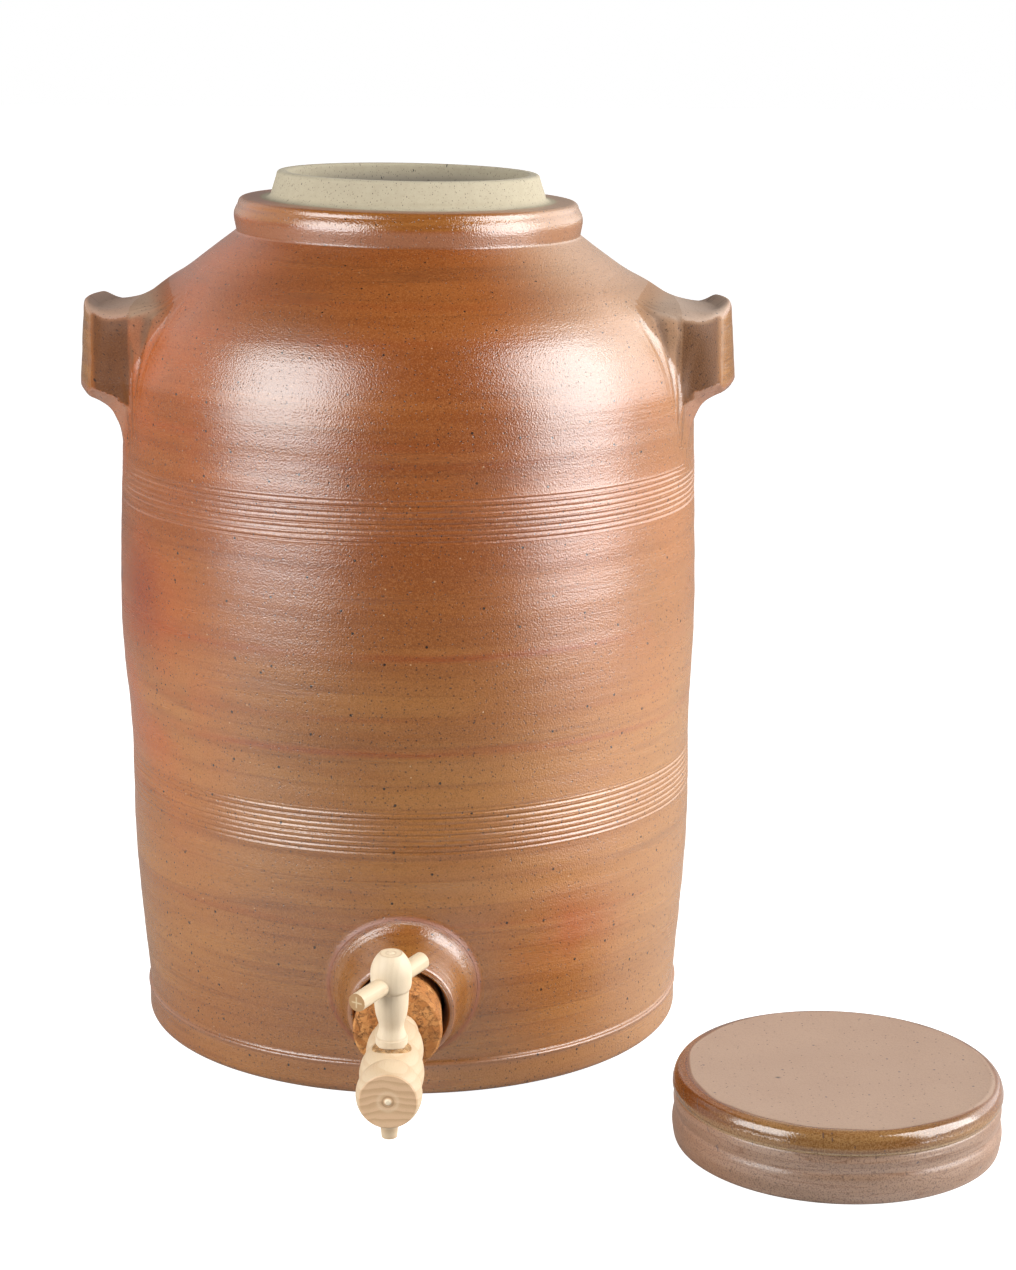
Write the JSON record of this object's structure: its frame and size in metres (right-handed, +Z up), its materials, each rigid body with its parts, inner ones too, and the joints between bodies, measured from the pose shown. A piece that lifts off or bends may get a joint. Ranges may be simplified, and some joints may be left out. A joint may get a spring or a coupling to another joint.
{
  "type": "stoneware water jar with tap",
  "caption": "Salt-glazed stoneware water jar with ear lugs, a turned wooden tap in a cork bung low on its front, an unglazed neck and a loose lid standing beside it.",
  "frame": {"origin": "centre of the jar's base, on the surface that it stands on", "axes": "+Z up through the mouth, -Y the way the tap points, +X towards the right-hand lug as seen from the front"},
  "size_m": [0.4319, 0.3944, 0.42],
  "materials": {
    "glazed_stoneware": "satin",
    "lid_stoneware": "satin",
    "cork": "matte",
    "turned_wood": "satin",
    "key_wood": "satin",
    "dowel_wood": "satin"
  },
  "bodies": {
    "jar": {"jar": "glazed_stoneware", "tap_boss": "glazed_stoneware", "right_lug": "glazed_stoneware", "left_lug": "glazed_stoneware", "cork_bung": "cork", "tap_barrel": "turned_wood", "key_liner": "cork", "spout_nib": "turned_wood"},
    "key": {"tap_key": "key_wood", "key_crossbar": "dowel_wood"},
    "lid": {"lid": "lid_stoneware"}
  },
  "joints": [
    {"name": "key_turn", "type": "hinge", "parent": "jar", "child": "key", "pos_m": [-0.00095, -0.22296, 0.04849], "axis": [0, -0.0698, 0.9976], "continuous": true},
    {"name": "lid_lift", "type": "slide", "parent": "jar", "child": "lid", "axis": [0, 0, 1], "range_m": [0, 0.43]}
  ]
}
